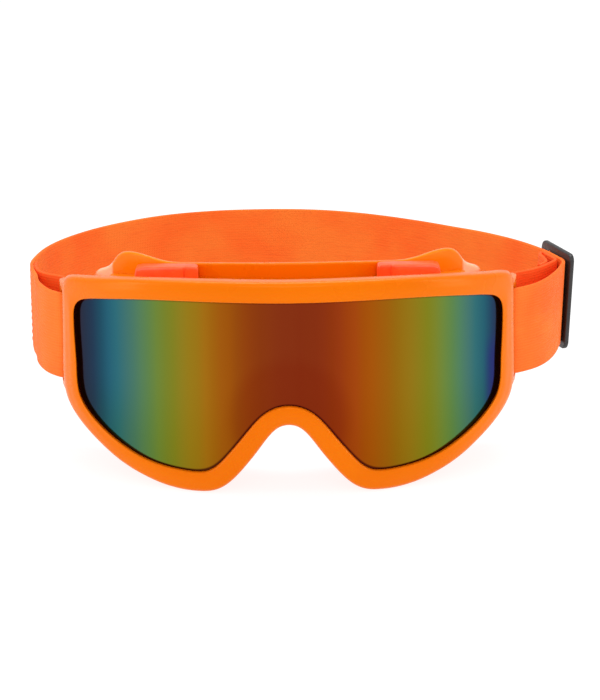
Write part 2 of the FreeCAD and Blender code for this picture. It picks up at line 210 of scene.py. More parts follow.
def matched(outer, inner, marks, n):
    """Pairs of points on two half outlines, tied together at matching points (indices into the halves)."""
    out = []
    for half, k in ((outer, 0), (inner, 1)):
        pts = both(half)
        f, knots = cubic(pts, True)
        u = np.linspace(0, 1, 8001)
        P = f(u[:-1]); P = np.vstack([P, P[:1]])
        run = np.concatenate([[0], np.cumsum(np.linalg.norm(np.diff(P, axis=0), axis=1))])
        total = run[-1]
        m = len(half) - 1
        idx = []
        for mk in marks:
            a = mk[k]
            i0 = int(math.floor(a)); w = a - i0
            ku = knots[i0] * (1 - w) + (knots[i0 + 1] * w if w else 0)
            idx.append(np.interp(ku, u, run))
        s = np.array(idx)
        full = np.concatenate([s, total - s[::-1][1:]])
        out.append((f, u, run, full))
    ref = out[0][3]
    g = np.linspace(0, ref[-1], n + 1)[:-1]
    pairs = []
    for f, u, run, full in out:
        s = np.interp(g, ref, full)
        # ease the joins between stretches
        x = s - np.interp(g, [0, ref[-1]], [0, full[-1]])
        for _ in range(14):
            x = (np.roll(x, 1) + 2 * x + np.roll(x, -1)) / 4
        s = np.interp(g, [0, ref[-1]], [0, full[-1]]) + x
        pairs.append(f(np.interp(s % full[-1], run, u)))
    return pairs


# ---------------------------------------------------------------- mesh helpers
def mesh_object(name, verts, faces, mat=None, smooth=True, uv=None, sharp=None):
    me = bpy.data.meshes.new(name)
    me.from_pydata([tuple(v) for v in W(verts)], [], [tuple(int(i) for i in f) for f in faces])
    me.validate()
    me.update()
    ob = bpy.data.objects.new(name, me)
    SC.collection.objects.link(ob)
    if uv is not None:
        layer = me.uv_layers.new(name="UVMap")
        for li, l in enumerate(me.loops):
            layer.data[li].uv = uv[l.vertex_index]
    bm = bmesh.new(); bm.from_mesh(me)
    bmesh.ops.recalc_face_normals(bm, faces=bm.faces)
    bm.to_mesh(me); bm.free()
    me.polygons.foreach_set("use_smooth", [smooth] * len(me.polygons))
    if sharp:
        me.set_sharp_from_angle(angle=math.radians(sharp))
    if mat:
        me.materials.append(mat)
    return ob


def ring_mesh(sections, close_u=True, close_v=True, cap=False):
    """sections: U x V x 3 grid; u runs along the sweep, v round the cross-section."""
    S = np.asarray(sections, float)
    U, V = S.shape[:2]
    faces = []
    for i in range(U if close_u else U - 1):
        a, b = i * V, ((i + 1) % U) * V
        for j in range(V if close_v else V - 1):
            k = (j + 1) % V
            faces.append((a + j, a + k, b + k, b + j))
    if cap:
        faces.append(tuple(range(V - 1, -1, -1)))
        faces.append(tuple((U - 1) * V + j for j in range(V)))
    return S.reshape(-1, 3), faces


def finish_piece(ob, body, slot, *nodes):
    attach(ob, body)
    if nodes:
        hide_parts(*nodes)
    return ob


# ---------------------------------------------------------------- materials
def srgb(r, g, b):
    c = []
    for v in (r, g, b):
        v /= 255.0
        c.append(v / 12.92 if v <= 0.04045 else ((v + 0.055) / 1.055) ** 2.4)
    return (*c, 1.0)


class Mat:
    def __init__(s, name):
        s.m = bpy.data.materials.new(name)
        s.m.use_nodes = True
        s.t = s.m.node_tree
        s.t.nodes.clear()
        s.out = s.add("ShaderNodeOutputMaterial")
        s.b = s.add("ShaderNodeBsdfPrincipled")
        s.link(s.b.outputs[0], s.out.inputs[0])

    def add(s, kind, **kw):
        n = s.t.nodes.new(kind)
        for k, v in kw.items():
            setattr(n, k, v)
        return n

    def link(s, a, b):
        s.t.links.new(a, b)

    def set(s, **kw):
        for k, v in kw.items():
            s.b.inputs[k.replace("_", " ")].default_value = v

    def coords(s, kind="Object", scale=(1, 1, 1), loc=(0, 0, 0)):
        tc = s.add("ShaderNodeTexCoord")
        mp = s.add("ShaderNodeMapping")
        mp.inputs["Scale"].default_value = scale
        mp.inputs["Location"].default_value = loc
        s.link(tc.outputs[kind], mp.inputs[0])
        return mp.outputs[0]

    def noise(s, vec, scale, detail=3.0, rough=0.5):
        n = s.add("ShaderNodeTexNoise")
        n.inputs["Scale"].default_value = scale
        n.inputs["Detail"].default_value = detail
        n.inputs["Roughness"].default_value = rough
        s.link(vec, n.inputs["Vector"])
        return n.outputs[0]

    def ramp(s, fac, stops, mode="LINEAR"):
        r = s.add("ShaderNodeValToRGB")
        r.color_ramp.interpolation = mode
        e = r.color_ramp.elements
        while len(e) > 1:
            e.remove(e[-1])
        e[0].position, e[0].color = stops[0]
        for p, c in stops[1:]:
            k = e.new(p); k.color = c
        s.link(fac, r.inputs[0])
        return r.outputs[0]

    def span(s, fac, lo, hi, a=0.0, b=1.0, smooth=False):
        r = s.add("ShaderNodeMapRange")
        if smooth:
            r.interpolation_type = "SMOOTHSTEP"
        for i, v in enumerate((lo, hi, a, b)):
            r.inputs[i + 1].default_value = v
        s.link(fac, r.inputs[0])
        return r.outputs[0]

    def math(s, op, a, b=None, c=None):
        n = s.add("ShaderNodeMath", operation=op)
        for i, v in enumerate((a, b, c)):
            if v is None:
                continue
            if isinstance(v, (int, float)):
                n.inputs[i].default_value = v
            else:
                s.link(v, n.inputs[i])
        return n.outputs[0]

    def mix(s, fac, a, b, kind="MIX"):
        n = s.add("ShaderNodeMix", data_type="RGBA", blend_type=kind)
        if isinstance(fac, (int, float)):
            n.inputs[0].default_value = fac
        else:
            s.link(fac, n.inputs[0])
        for v, i in ((a, 6), (b, 7)):
            if isinstance(v, tuple):
                n.inputs[i].default_value = v
            else:
                s.link(v, n.inputs[i])
        return n.outputs[2]

    def bump(s, height, dist, strength=1.0, under=None):
        n = s.add("ShaderNodeBump")
        n.inputs["Strength"].default_value = strength
        n.inputs["Distance"].default_value = dist
        s.link(height, n.inputs["Height"])
        if under is not None:
            s.link(under, n.inputs["Normal"])
        return n.outputs[0]

    def sep(s, vec):
        n = s.add("ShaderNodeSeparateXYZ")
        s.link(vec, n.inputs[0])
        return n.outputs


def mat_tpu():
    k = Mat("frame_tpu")
    v = k.coords()
    big = k.noise(v, 18, 2)
    fine = k.noise(v, 900, 2)
    c = k.mix(k.span(big, 0.3, 0.7), srgb(232, 108, 0), srgb(237, 114, 0))
    # painted highlight: the thin outer corners of the face flange are painted pale, standing in for the overhead light
    # they catch
    x, y, z = k.sep(v)[:3]
    xa = k.math("ABSOLUTE", k.math("SUBTRACT", x, OX / 1000.0))
    # painted light: the flange as a whole is painted a little lighter, in place of the shade it sits in behind the
    # bezel and strap
    flange_painted_light = k.math("MULTIPLY", k.span(y, -0.0640, -0.0600, 0.0, 0.75, smooth=True), k.span(xa, 0.0800, 0.0835, 1.0, 0.0, smooth=True))
    flange_painted_light = k.math("MULTIPLY", flange_painted_light, k.span(z, 0.0700, 0.0790, 0.0, 1.0, smooth=True))
    c = k.mix(flange_painted_light, c, srgb(254, 134, 2))
    # painted highlight mask for the pale outer corners of the flange
    corner_painted_highlight = k.math("MULTIPLY", k.span(xa, 0.0688, 0.0700, 0.0, 1.0, smooth=True), k.span(y, -0.0475, -0.0455, 0.0, 1.0, smooth=True))
    corner_painted_highlight = k.math("MULTIPLY", corner_painted_highlight, k.span(y, -0.0385, -0.0365, 1.0, 0.0, smooth=True))
    corner_painted_highlight = k.math("MULTIPLY", corner_painted_highlight, k.span(z, 0.0715, 0.0740, 0.0, 1.0, smooth=True))
    c = k.mix(corner_painted_highlight, c, srgb(255, 186, 148))
    k.link(c, k.b.inputs["Base Color"])
    r = k.span(k.noise(v, 60, 3), 0.3, 0.7, 0.24, 0.34)
    k.link(r, k.b.inputs["Roughness"])
    k.set(Specular_IOR_Level=0.38, Subsurface_Weight=0.10, Subsurface_Scale=0.003, Coat_Weight=0.035, Coat_Roughness=0.18)
    k.b.inputs["Specular Tint"].default_value = (1.0, 0.50, 0.10, 1.0)
    k.b.inputs["Subsurface Radius"].default_value = (1.0, 0.35, 0.05)
    k.link(k.bump(fine, 0.00002, 0.5), k.b.inputs["Normal"])
    return k.m


# coating colour against distance from the symmetry plane, on each side
LENS_L = [(86, (34, 12, 18)), (83.5, (40, 26, 46)), (80, (30, 42, 66)), (76.5, (30, 55, 82)), (73, (30, 78, 101)), (70, (37, 96, 118)),
          (66.6, (46, 108, 122)), (63.4, (62, 114, 115)), (60, (74, 121, 105)), (57, (86, 128, 92)), (53.9, (96, 132, 76)),
          (50.7, (110, 135, 59)), (47.5, (120, 132, 46)), (44.4, (130, 130, 37)), (41.3, (143, 127, 34)), (38.2, (152, 123, 28)),
          (35.1, (156, 118, 25)), (32, (164, 110, 22)), (29, (162, 100, 18)), (25.9, (162, 90, 17)), (22.8, (159, 84, 15)),
          (19.7, (151, 75, 16)), (16.7, (148, 67, 16)), (13.6, (143, 61, 17)), (10.6, (139, 57, 18)), (7.5, (138, 55, 20)),
          (4.5, (136, 52, 21)), (0, (135, 50, 21))]
LENS_R_ = [(86, (30, 14, 30)), (83.5, (34, 30, 62)), (80, (28, 62, 95)), (76.5, (35, 95, 113)), (73, (49, 110, 118)), (70, (70, 119, 112)),
           (66.6, (82, 130, 97)), (63.4, (95, 135, 76)), (60, (111, 137, 61)), (57, (124, 134, 45)), (53.9, (130, 130, 31)),
           (50.7, (140, 125, 29)), (47.5, (148, 119, 26)), (44.4, (151, 113, 22)), (41.3, (153, 105, 18)), (38.2, (159, 97, 16)),
           (35.1, (163, 91, 15)), (32, (167, 85, 13)), (29, (165, 79, 13)), (25.9, (165, 71, 17)), (22.8, (159, 65, 16)),
           (19.7, (152, 58, 19)), (16.7, (145, 54, 17)), (13.6, (140, 51, 20)), (10.6, (136, 49, 20)), (7.5, (135, 49, 20)),
           (4.5, (134, 48, 20)), (0, (135, 50, 21))]


def mat_lens():
    k = Mat("lens_mirror")
    v = k.coords()
    x, y, z = k.sep(v)[:3]
    # the coating wavers a little, so that its bands are not ruled
    wob = k.span(k.noise(k.coords(scale=(14, 14, 5)), 1.0, 2), 0.0, 1.0, -0.0010, 0.0010)
    xx = k.math("ADD", k.math("SUBTRACT", x, OX / 1000.0), wob)
    fac = k.math("DIVIDE", k.math("SUBTRACT", 0.086, k.math("ABSOLUTE", xx)), 0.086)
    left = k.ramp(fac, [((86 - p) / 86.0, srgb(*c)) for p, c in LENS_L])
    right_ = k.ramp(fac, [((86 - p) / 86.0, srgb(*c)) for p, c in LENS_R_])
    col = k.mix(k.span(xx, -0.004, 0.004, 0.0, 1.0), left, right_)
    # the nose arch seen faintly through the coating
    zz = k.math("SUBTRACT", z, 0.030)
    rr = k.math("SQRT", k.math("ADD", k.math("MULTIPLY", xx, xx), k.math("MULTIPLY", zz, zz)))
    arch = k.span(rr, 0.0270, 0.0190, 0.0, 0.26, smooth=True)
    col = k.mix(arch, col, srgb(126, 28, 6))
    # warmer, more saturated towards the lower edge
    low = k.span(z, 0.046, 0.012, 0.0, 0.55, smooth=True)
    col = k.mix(low, col, k.mix(1.0, col, (0.86, 0.86, 0.36, 1.0), "MULTIPLY"))
    # violet at the lower outer corner of one side
    vio = k.math("MULTIPLY", k.span(xx, 0.0755, 0.0805, 0.0, 0.75, smooth=True), k.span(z, 0.058, 0.044, 0.0, 1.0, smooth=True))
    col = k.mix(vio, col, srgb(36, 38, 118))
    # painted shade: a dark maroon line is painted where the sheet runs into the frame; the UV's first number is the
    # distance inside the opening, in cm
    uvn = k.add("ShaderNodeUVMap", uv_map="UVMap").outputs[0]
    dep = k.sep(uvn)[0]
    col = k.mix(1.0, col, (0.86, 0.86, 0.84, 1.0), "MULTIPLY")
    # painted shade along the lens edge, stronger low down
    rim_painted_shade = k.math("MULTIPLY", k.span(dep, 0.035, 0.110, 1.0, 0.0, smooth=True), k.span(z, 0.0675, 0.0735, 0.90, 0.35, smooth=True))
    col = k.mix(rim_painted_shade, col, srgb(62, 6, 9))
    k.link(col, k.b.inputs["Base Color"])
    k.set(Metallic=1.0, Specular_IOR_Level=0.5)
    k.link(k.span(k.noise(v, 35, 3), 0.3, 0.7, 0.12, 0.16), k.b.inputs["Roughness"])
    return k.m


def mat_webbing(name="strap_webbing", tone=0.0):
    k = Mat(name)
    uv = k.add("ShaderNodeUVMap", uv_map="UVMap").outputs[0]
    u, w, _ = k.sep(uv)[:3]
    v = k.coords()
    # ribs run along the webbing, fine crossing picks run over it
    ribs = k.math("SINE", k.math("MULTIPLY", w, 2 * math.pi / 0.0011))
    picks = k.math("SINE", k.math("ADD", k.math("MULTIPLY", u, 2 * math.pi / 0.0009), k.math("MULTIPLY", ribs, 0.9)))
    h = k.math("ADD", k.math("MULTIPLY", ribs, 0.6), k.math("MULTIPLY", picks, 0.4))
    mp = k.add("ShaderNodeMapping")
    mp.inputs["Scale"].default_value = (60, 1500, 1)
    k.link(uv, mp.inputs[0])
    streak = k.noise(mp.outputs[0], 1.0, 2)
    blot = k.noise(v, 45, 2)
    a, b = srgb(255, 97, 17), srgb(255, 119, 33)
    c = k.mix(k.span(blot, 0.3, 0.7), a, b)
    # painted highlight: the rib crests are painted lighter
    c = k.mix(k.span(h, -1, 1, 0.0, 0.22), c, srgb(255, 136, 58))
    c = k.mix(k.span(streak, 0.58, 0.72, 0.0, 0.22), c, srgb(226, 64, 10))
    # painted light: the layers that face each other inside the two end loops are painted a deeper, brighter red,
    # standing in for the shade between them and the light coming through the webbing
    x, y, z = k.sep(v)[:3]
    u0, u1 = 0.042, 0.508
    loop_painted_light = k.math("MAXIMUM", k.span(u, u0 - 0.004, u0 + 0.004, 1.0, 0.0, smooth=True), k.math("MULTIPLY", k.span(u, u1, u1 + 0.006, 0.0, 1.0, smooth=True), k.span(u, 0.640, 0.650, 1.0, 0.0)))
    c = k.mix(k.math("MULTIPLY", loop_painted_light, 0.50), c, srgb(255, 72, 24))
    k.link(c, k.b.inputs["Base Color"])
    k.set(Roughness=0.72, Specular_IOR_Level=0.22, Sheen_Weight=0.14, Sheen_Roughness=0.4)
    k.b.inputs["Sheen Tint"].default_value = srgb(255, 160, 90)
    k.link(k.bump(h, 0.00012, 0.55, k.bump(k.noise(v, 700, 3), 0.00008, 0.4)), k.b.inputs["Normal"])
    return k.m


def mat_thread():
    k = Mat("strap_thread")
    v = k.coords(scale=(1, 1, 1))
    tw = k.math("SINE", k.math("MULTIPLY", k.sep(v)[2], 2 * math.pi / 0.0006))
    k.link(k.mix(k.span(tw, -1, 1), srgb(236, 84, 20), srgb(255, 140, 70)), k.b.inputs["Base Color"])
    k.set(Roughness=0.6, Sheen_Weight=0.2)
    k.link(k.bump(tw, 0.00005, 0.6), k.b.inputs["Normal"])
    return k.m


def mat_pad():
    k = Mat("vent_pad_coral")
    v = k.coords()
    c = k.mix(k.span(k.noise(v, 120, 3), 0.3, 0.7), srgb(255, 86, 20), srgb(255, 100, 32))
    k.link(c, k.b.inputs["Base Color"])
    k.link(k.span(k.noise(v, 300, 2), 0.3, 0.7, 0.34, 0.46), k.b.inputs["Roughness"])
    k.set(Subsurface_Weight=0.35, Subsurface_Scale=0.004, Coat_Weight=0.14, Coat_Roughness=0.25)
    k.b.inputs["Subsurface Radius"].default_value = (1.0, 0.3, 0.15)
    k.b.inputs["Coat Tint"].default_value = srgb(255, 190, 200)
    k.link(k.bump(k.noise(v, 1300, 2), 0.00004, 0.5), k.b.inputs["Normal"])
    return k.m


def mat_foam(name="foam_open_cell", scale=1700):
    k = Mat(name)
    v = k.coords()
    vor = k.add("ShaderNodeTexVoronoi", feature="F1")
    vor.inputs["Scale"].default_value = scale
    k.link(v, vor.inputs["Vector"])
    cells = vor.outputs["Distance"]
    c = k.mix(k.span(cells, 0.1, 0.6), srgb(20, 20, 22), srgb(58, 58, 62))
    c = k.mix(k.span(k.noise(v, 40, 2), 0.3, 0.7, 0.0, 0.35), c, srgb(34, 34, 37))
    k.link(c, k.b.inputs["Base Color"])
    k.set(Roughness=0.95, Specular_IOR_Level=0.15, Sheen_Weight=0.15)
    k.link(k.bump(cells, 0.0004, 0.9, k.bump(k.noise(v, 250, 3), 0.0005, 0.4)), k.b.inputs["Normal"])
    return k.m


def mat_slider():
    k = Mat("slider_plastic")
    v = k.coords()
    k.link(k.mix(k.span(k.noise(v, 150, 3), 0.3, 0.7), srgb(33, 31, 32), srgb(42, 40, 41)), k.b.inputs["Base Color"])
    k.link(k.span(k.noise(v, 500, 3), 0.3, 0.7, 0.34, 0.5), k.b.inputs["Roughness"])
    k.set(Specular_IOR_Level=0.5)
    k.link(k.bump(k.noise(v, 2200, 2), 0.00003, 0.6), k.b.inputs["Normal"])
    return k.m


TPU, LENS, WEBBING, THREAD, PAD, FOAM, SLIDER = (mat_tpu(), mat_lens(), mat_webbing(), mat_thread(),
                                              mat_pad(), mat_foam(), mat_slider())


# ---------------------------------------------------------------- frame
def front_y(x, d):
    return cyl_y(x, FRONT_R, FRONT_CY) + d


def lens_y(x, r):
    return FRONT_CY - math.sqrt(max(r * r - x * x, 1e-6))


def face_y(x, r):
    return FACE_CY - math.sqrt(max(r * r - x * x, 1e-6))


def arc_pts(cx_, cy_, r, a0, a1, n):
    return [(cx_ + r * math.cos(math.radians(a0 + (a1 - a0) * i / n)), cy_ + r * math.sin(math.radians(a0 + (a1 - a0) * i / n)))
            for i in range(n + 1)]


N_RING = 560
rim_pts, open_pts = matched(RIM, OPEN, [(0, 0), (2, 1.45), (4, 3), (6, 4.6), (8, 6), (9, 6.8), (11, 8), (12, 9), (13, 10), (14.1, 11),
                                        (15, 12), (16.1, 13), (18.2, 14.1), (20.2, 15.1), (21.8, 16), (23.6, 17),
                                        (25, 18.5), (26.1, 19.4), (27.2, 20.2), (28.6, 21.3), (29.6, 22.3), (31, 23.4), (32, 24.5),
                                        (33, 26), (34, 27)], N_RING)


def bezel_section(i):
    R, O = rim_pts[i], open_pts[i]
    w = float(np.linalg.norm(R - O))
    e = (R - O) / w
    wall = 3.1 + 1.9 * max(0.0, e[1]) ** 2
    ro = min(2.3, w * 0.42)          # outer front edge
    ri = 0.75                        # lip at the lens
    crown = 0.32
    prof = []                        # (s, kind, value): f = depth behind the front, l = lens cylinder radius
    lip = 0.0
    # lens side of the lip, from the groove up to the front
    prof += [(lip, "l", LENS_R + 0.05), (lip, "m", 0.45)]
    for s, d in arc_pts(lip + ri, ri, ri, 180, 270, 5)[:]:
        prof.append((s, "f", d))
    a, b = lip + ri, w - ro
    for k in range(1, 8):
        s = a + (b - a) * k / 8.0
        prof.append((s, "f", -crown * math.sin(math.pi * k / 8.0)))
    for s, d in arc_pts(w - ro, ro, ro, 270, 360, 8):
        prof.append((s, "f", d))
    prof += [(w - 0.02, "f", 4.2), (w - 0.06, "f", 6.3)]
    for s, d in arc_pts(w - 0.7, 6.4, 0.6, 0, 90, 3):
        prof.append((s, "f", d))
    prof += [(w - wall, "f", 7.0), (w - wall, "f", 8.4)]
    for s, d in arc_pts(w - wall - 0.6, 9.4, 0.6, 0, 90, 3):
        prof.append((s, "f", d))
    prof += [(min(w - wall - 1.0, 1.2), "f", 10.0)]
    for s, d in arc_pts(0.6, 9.4, 0.6, 90, 180, 3):
        prof.append((s, "f", d))
    prof += [(0.0, "l", LENS_R - LENS_T - 0.05), (1.85, "l", LENS_R - LENS_T - 0.05), (1.85, "l", LENS_R + 0.05)]
    out = []
    for s, kind, v in prof:
        p = O + e * s
        x = float(p[0])
        if kind == "f":
            y = float(front_y(x, v))
        elif kind == "l":
            y = lens_y(x, v)
        else:
            y = 0.5 * (lens_y(x, LENS_R + 0.05) + float(front_y(x, ri)))
        out.append((x, y, float(p[1])))
    return out


def manifold(name, sections, close_u=True, cap=False):
    v, f = ring_mesh(sections, close_u=close_u, cap=cap)
    return mesh_object(name, v, f)


def boolean(a, b, op):
    md = a.modifiers.new("cut", "BOOLEAN")
    md.operation, md.object, md.solver = op, b, "MANIFOLD"
    dg = bpy.context.evaluated_depsgraph_get()
    me = bpy.data.meshes.new_from_object(a.evaluated_get(dg))
    n0 = len(me.polygons)
    if n0 < 20:
        md.solver = "EXACT"
        dg = bpy.context.evaluated_depsgraph_get()
        me = bpy.data.meshes.new_from_object(a.evaluated_get(dg))
    a.modifiers.clear()
    old = a.data
    a.data = me
    bpy.data.meshes.remove(old)
    bpy.data.objects.remove(b, do_unlink=True)
    print("boolean", op, a.name, len(a.data.polygons))
    return a


def block(name, plan_pts, z0, z1, bevel=0.4, seg=3):
    """Prism on a plan polygon with rounded edges."""
    n = len(plan_pts)
    v = [(x, y, z0) for x, y in plan_pts] + [(x, y, z1) for x, y in plan_pts]
    f = [tuple(range(n - 1, -1, -1)), tuple(range(n, 2 * n))] + [(i, (i + 1) % n, n + (i + 1) % n, n + i) for i in range(n)]
    ob = mesh_object(name, v, f)
    if bevel:
        bm = bmesh.new(); bm.from_mesh(ob.data)
        bmesh.ops.bevel(bm, geom=list(bm.edges), offset=bevel / 1000.0, segments=seg, profile=0.5, affect="EDGES", clamp_overlap=True)
        bm.to_mesh(ob.data); bm.free()
    return ob


frame_ob = manifold("goggle_frame", [bezel_section(i) for i in range(N_RING)])

# wall between the lens seat and the face flange, with sloping roofs over its upper corners
rim_loop = loop(RIM, 600)
wall_out = offset_loop(rim_loop, lambda nz: -3.1 - 1.9 * np.maximum(0.0, nz) ** 2)
wall_in = wall_out - outward(wall_out) * 2.2
ROOF_Z, ROOF_Y, ROOF_SLOPE, ROOF_X, WALL_T = 77.4, 41.0, 0.28, 70.0, 2.2


def prism(name, P, y0, y1):
    n = len(P)
    v = [(x, y0, z) for x, z in P] + [(x, y1, z) for x, z in P]
    f = [tuple(range(n)), tuple(range(2 * n - 1, n - 1, -1))] + [(i, n + i, n + (i + 1) % n, (i + 1) % n) for i in range(n)]
    return mesh_object(name, v, f)


def above_roof(side, x0, drop):
    def z(y):
        return ROOF_Z - drop - ROOF_SLOPE * (y - ROOF_Y)
    xs = (side * x0, side * (x0 + 60))
    v = [(x, y, h) for x in xs for y, h in ((-30, z(-30)), (130, z(130)), (130, 170), (-30, 170))]
    f = [(0, 1, 2, 3), (7, 6, 5, 4), (0, 4, 5, 1), (1, 5, 6, 2), (2, 6, 7, 3), (3, 7, 4, 0)]
    return mesh_object("roof_tmp", v, f)


wall_ob = prism("wall_tmp", wall_out, -15, 115)
hollow = prism("hollow_tmp", wall_in, -20, 120)
for s in (1, -1):
    boolean(wall_ob, above_roof(s, ROOF_X, 0.0), "DIFFERENCE")
    boolean(hollow, above_roof(s, ROOF_X - WALL_T, WALL_T), "DIFFERENCE")
boolean(wall_ob, hollow, "DIFFERENCE")
secs = []
for k in range(241):
    x = -96.0 + 192.0 * k / 240.0
    y0, y1 = float(front_y(x, 8.2)), face_y(x, FACE_R - 1.2)
    secs.append([(x, y0, -15), (x, y1, -15), (x, y1, 110), (x, y0, 110)])
boolean(wall_ob, manifold("span_tmp", secs, close_u=False, cap=True), "INTERSECT")
boolean(frame_ob, wall_ob, "UNION")

# face flange
fl_pts, fo_pts = matched(FLANGE, FACE_OPEN, [(0, 0), (2.4, 1.2), (5, 1.95), (7.5, 2.6), (9.5, 3.1), (13.5, 3.7), (16, 4.3), (17.4, 5), (19, 6), (20.3, 7), (21.2, 8),
                                             (22.5, 9), (23.7, 10), (24.9, 11), (26, 12), (27.3, 13), (28.9, 14), (30.3, 15),
                                             (31.2, 16), (32, 17), (33, 18), (34, 19)], N_RING)
secs = []
for i in range(N_RING):
    R, O = fl_pts[i], fo_pts[i]
    w = float(np.linalg.norm(R - O)); e = (R - O) / w
    t = FLANGE_T; r = 0.85
    prof = arc_pts(w - r, r, r, 270, 360, 4) + arc_pts(w - r, t - r, r, 0, 90, 4)
    prof += [(w * 0.75, t), (w * 0.5, t), (w * 0.25, t)]
    prof += arc_pts(r, t - r, r, 90, 180, 4) + arc_pts(r, r, r, 180, 270, 4)
    prof += [(w * 0.25, 0), (w * 0.5, 0), (w * 0.75, 0)]
    secs.append([(float((O + e * s)[0]), face_y(float((O + e * s)[0]), FACE_R - d), float((O + e * s)[1])) for s, d in prof])
flange_ob = manifold("flange_tmp", secs)
boolean(frame_ob, flange_ob, "UNION")

# strap slots behind the bezel's side edges, then the ears that carry the webbing
EAR_Z0, EAR_Z1, SLOT_Z0, SLOT_Z1 = 30.6, 72.1, 32.7, 70.3
for s in (1, -1):
    boolean(frame_ob, block("slot_tmp", [(s * 86.15, 48.3), (s * 100, 48.3), (s * 100, 70), (s * 86.15, 70)][::s], SLOT_Z0, SLOT_Z1, 0), "DIFFERENCE")
for s in (1, -1):
    plate = [(88.0, 53.8), (90.2, 53.8), (91.0, 61.6), (88.85, 61.6)]
    arm = [(84.6, 46.2), (88.8, 46.2), (90.2, 53.8), (91.0, 61.6), (89.6, 63.6), (85.6, 63.6), (84.6, 62.6)]
    boolean(frame_ob, block("ear_tmp", [(s * x, y) for x, y in plate], EAR_Z0 + 0.1, EAR_Z1 - 0.1, 0.5), "UNION")
    boolean(frame_ob, block("arm_tmp", [(s * x, y) for x, y in arm], EAR_Z0, SLOT_Z0, 0.45), "UNION")
    boolean(frame_ob, block("arm_tmp", [(s * x, y) for x, y in arm], SLOT_Z1, EAR_Z1, 0.45), "UNION")
    # vents through the bottom wall and under the top pads
    for a, b in ((40.0, 50.0), (54.0, 64.0)):
        ya, yb = 128 - 110.5, 128 - 60
        secs = []
        for k in range(13):
            x = a + (b - a) * k / 12.0
            y0, y1 = face_y(x, 110.2), face_y(x, 104.2)
            secs.append([(s * x, y0, -5), (s * x, y1, -5), (s * x, y1, 18), (s * x, y0, 18)])
        boolean(frame_ob, manifold("vent_tmp", secs, close_u=False, cap=True), "DIFFERENCE")
    secs = []
    for k in range(17):
        x = 39.0 + 17.0 * k / 16.0
        y0, y1 = face_y(x, 105.2), face_y(x, 101.8)
        secs.append([(s * x, y0, 74), (s * x, y1, 74), (s * x, y1, 83), (s * x, y0, 83)])
    boolean(frame_ob, manifold("vent_tmp", secs, close_u=False, cap=True), "DIFFERENCE")


def tidy(ob, sharp=32.0, mat=None):
    bm = bmesh.new(); bm.from_mesh(ob.data)
    bmesh.ops.remove_doubles(bm, verts=bm.verts, dist=2e-6)
    bmesh.ops.dissolve_degenerate(bm, edges=bm.edges, dist=1e-6)
    bmesh.ops.recalc_face_normals(bm, faces=bm.faces)
    bm.to_mesh(ob.data); bm.free()
    ob.data.polygons.foreach_set("use_smooth", [True] * len(ob.data.polygons))
    ob.data.set_sharp_from_angle(angle=math.radians(sharp))
    if mat:
        ob.data.materials.clear()
        ob.data.materials.append(mat)


tidy(frame_ob, 34.0, TPU)
finish_piece(frame_ob, "goggles", "frame", "frame")

# ---------------------------------------------------------------- lens
open_loop = loop(OPEN, 640)
RINGS = [1.8, 0.9, 0.0, -0.35, -0.7, -1.05, -1.5, -2.2, -3.2]
loops, depth = [], []
for d in RINGS:
    loops.append(open_loop if d == 0 else offset_loop(open_loop, d, rounds=3 if d > 0 else 2, n=640))
    depth.append(-d)
# line the loops up station by station
ref = loops[2]
for k, L in enumerate(loops):
    j = int(np.argmin(((L - ref[0]) ** 2).sum(1)))
    L = np.roll(L, -j, axis=0)
    loops[k] = L
inner = loops[-1]
NL = 640


def inside_poly(P, poly):
    x, y = P[:, 0], P[:, 1]
    c = np.zeros(len(P), bool)
    x0, y0 = poly[:, 0], poly[:, 1]
    x1, y1 = np.roll(x0, -1), np.roll(y0, -1)
    for a, b, cc, d in zip(x0, y0, x1, y1):
        hit = ((b > y) != (d > y)) & (x < (cc - a) * (y - b) / (d - b + 1e-12) + a)
        c ^= hit
    return c


gx, gz = np.meshgrid(np.arange(-84, 84.1, 1.5), np.arange(4, 80, 2.0))
G = np.stack([gx.ravel(), gz.ravel()], axis=1)
G = G[inside_poly(G, inner)]
dist = np.sqrt(((G[:, None, :] - inner[None, ::2, :]) ** 2).sum(-1)).min(1)
G = G[dist > 0.9]
coords = [Vector((float(a), float(b))) for a, b in inner] + [Vector((float(a), float(b))) for a, b in G]
cdt = delaunay_2d_cdt(coords, [], [list(range(NL))], 1, 1e-6)
core = np.array([(v.x, v.y) for v in cdt[0]])
orig = cdt[3]
core_faces = [list(f) for f in cdt[2]]
lookup = {}
for idx, o in enumerate(orig):
    for q in o:
        lookup[q] = idx
verts2, dep = [], []
for L, d in zip(loops[:-1], depth[:-1]):
    verts2 += [tuple(p) for p in L]; dep += [d] * NL
base = len(verts2)
verts2 += [tuple(p) for p in core]
dcore = np.sqrt(((core[:, None, :] - open_loop[None, ::2, :]) ** 2).sum(-1)).min(1)
dep += list(dcore)
layer = []
for k in range(len(RINGS) - 1):
    for i in range(NL):
        j = (i + 1) % NL
        a, b = k * NL + i, k * NL + j
        if k < len(RINGS) - 2:
            c, d = (k + 1) * NL + j, (k + 1) * NL + i
        else:
            c, d = base + lookup[j], base + lookup[i]
        layer.append([a, b, c, d])
layer += [[base + q for q in f] for f in core_faces]
nv = len(verts2)
front_v = [(x, lens_y(x, LENS_R), z) for x, z in verts2]
rear_v = [(x, lens_y(x, LENS_R - LENS_T), z) for x, z in verts2]
faces = [tuple(f) for f in layer] + [tuple(nv + q for q in f[::-1]) for f in layer]
for i in range(NL):
    j = (i + 1) % NL
    faces.append((i, j, nv + j, nv + i))
uv = [(d / 10.0, 0.2) for d in dep] + [(d / 10.0, 0.8) for d in dep]
lens_ob = mesh_object("mirror_lens", front_v + rear_v, faces, LENS, uv=uv, sharp=40)
finish_piece(lens_ob, "goggles", "lens", "lens")


